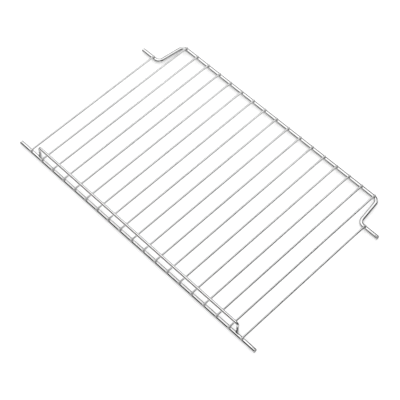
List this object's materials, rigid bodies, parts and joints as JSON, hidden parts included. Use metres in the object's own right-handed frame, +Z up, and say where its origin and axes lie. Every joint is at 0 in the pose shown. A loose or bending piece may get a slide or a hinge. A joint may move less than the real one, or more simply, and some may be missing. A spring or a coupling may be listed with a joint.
{
  "type": "wire rack",
  "caption": "Flat oven rack of welded, plated steel wire: cross wires on a straight bar and a stepped bar whose ends rest in side guides, with a raised rail along one edge.",
  "frame": {"origin": "middle of the rack's outline, at the level of the bars' underside", "axes": "+X along the bars, +Y from the straight bar to the stepped bar's main run, +Z up towards the raised rail"},
  "size_m": [0.37, 0.2328, 0.0193],
  "materials": {
    "plated_steel": "bright plated steel wire"
  },
  "bodies": {
    "root": {"straight_bar": "plated_steel", "stepped_bar": "plated_steel", "raised_rail": "plated_steel", "cross_wire_01": "plated_steel", "cross_wire_02": "plated_steel", "cross_wire_03": "plated_steel", "cross_wire_04": "plated_steel", "cross_wire_05": "plated_steel", "cross_wire_06": "plated_steel", "cross_wire_07": "plated_steel", "cross_wire_08": "plated_steel", "cross_wire_09": "plated_steel", "cross_wire_10": "plated_steel", "cross_wire_11": "plated_steel", "cross_wire_12": "plated_steel", "cross_wire_13": "plated_steel", "cross_wire_14": "plated_steel", "cross_wire_15": "plated_steel", "cross_wire_16": "plated_steel", "cross_wire_17": "plated_steel", "cross_wire_18": "plated_steel", "cross_wire_19": "plated_steel"}
  },
  "joints": []
}
